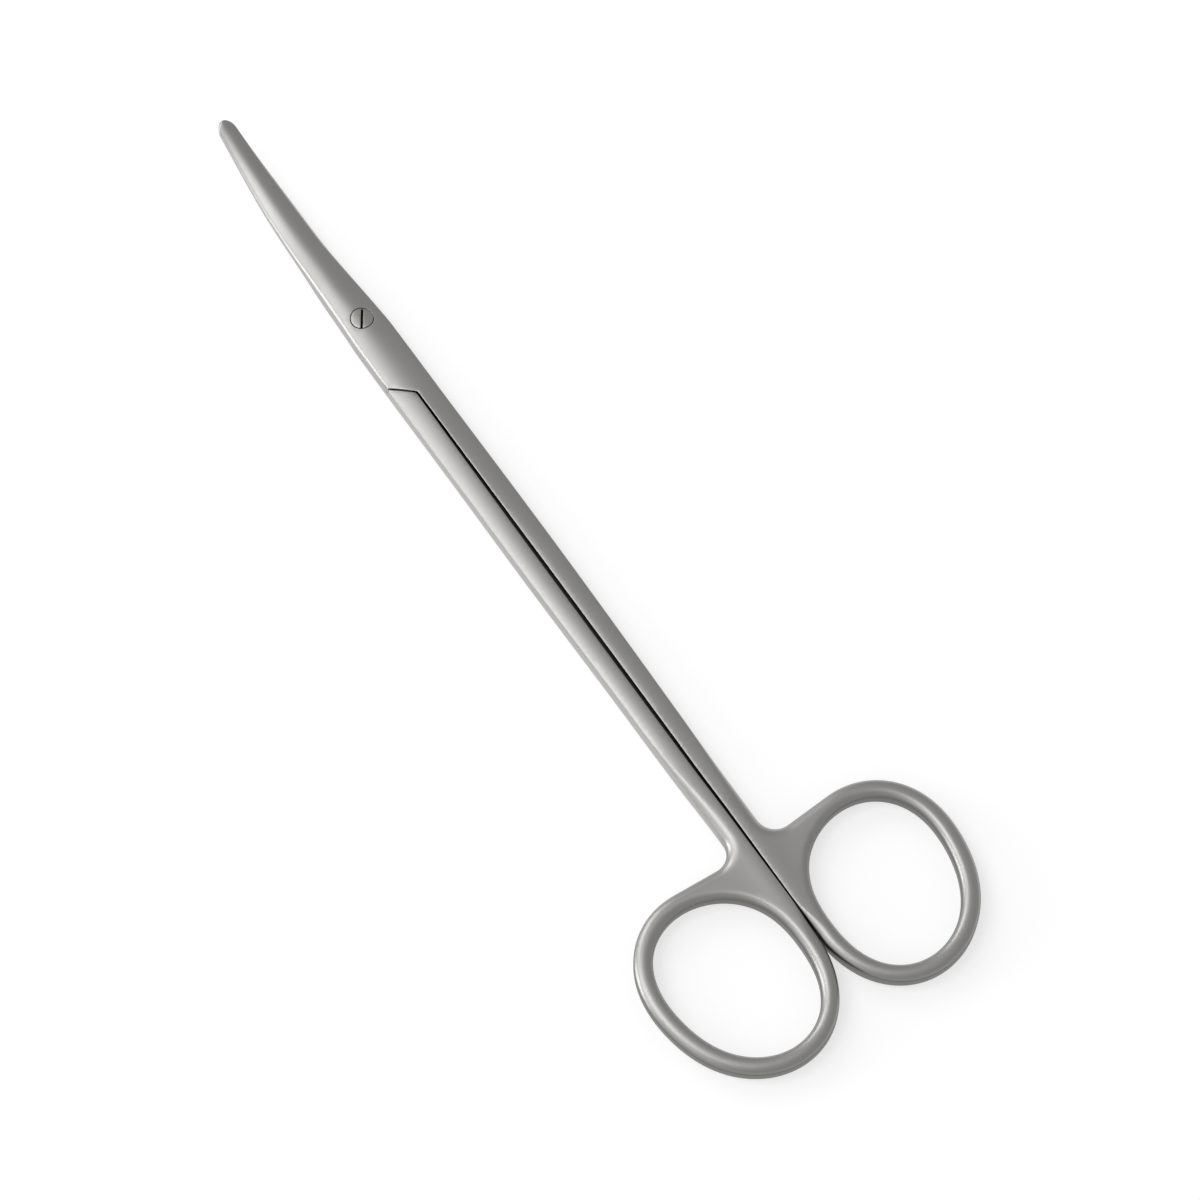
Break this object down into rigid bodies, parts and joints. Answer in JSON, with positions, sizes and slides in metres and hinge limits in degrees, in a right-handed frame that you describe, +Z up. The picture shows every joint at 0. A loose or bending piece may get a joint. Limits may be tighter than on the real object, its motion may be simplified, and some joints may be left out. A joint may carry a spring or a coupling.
{
  "type": "dissecting scissors",
  "caption": "Slim curved dissecting scissors with long shanks, two finger rings, a lap joint and a slotted countersunk pivot screw.",
  "frame": {"origin": "middle of the length, on the surface that the closed scissors lie on", "axes": "+Y from the finger rings to the tips, +X towards the upper half's ring, +Z up out of the surface, the way the tips curve"},
  "size_m": [0.0541, 0.18, 0.0083],
  "materials": {
    "satin_steel": "fine satin, lengthwise",
    "screw_steel": "fine satin"
  },
  "bodies": {
    "lower": {"lower_half": "satin_steel", "pivot_screw": "screw_steel"},
    "upper": {"upper_half": "satin_steel"}
  },
  "joints": [
    {"name": "pivot", "type": "hinge", "parent": "lower", "child": "upper", "pos_m": [0, 0.049, 0.002], "axis": [0, 0, 1], "range_deg": [0, 60]}
  ]
}
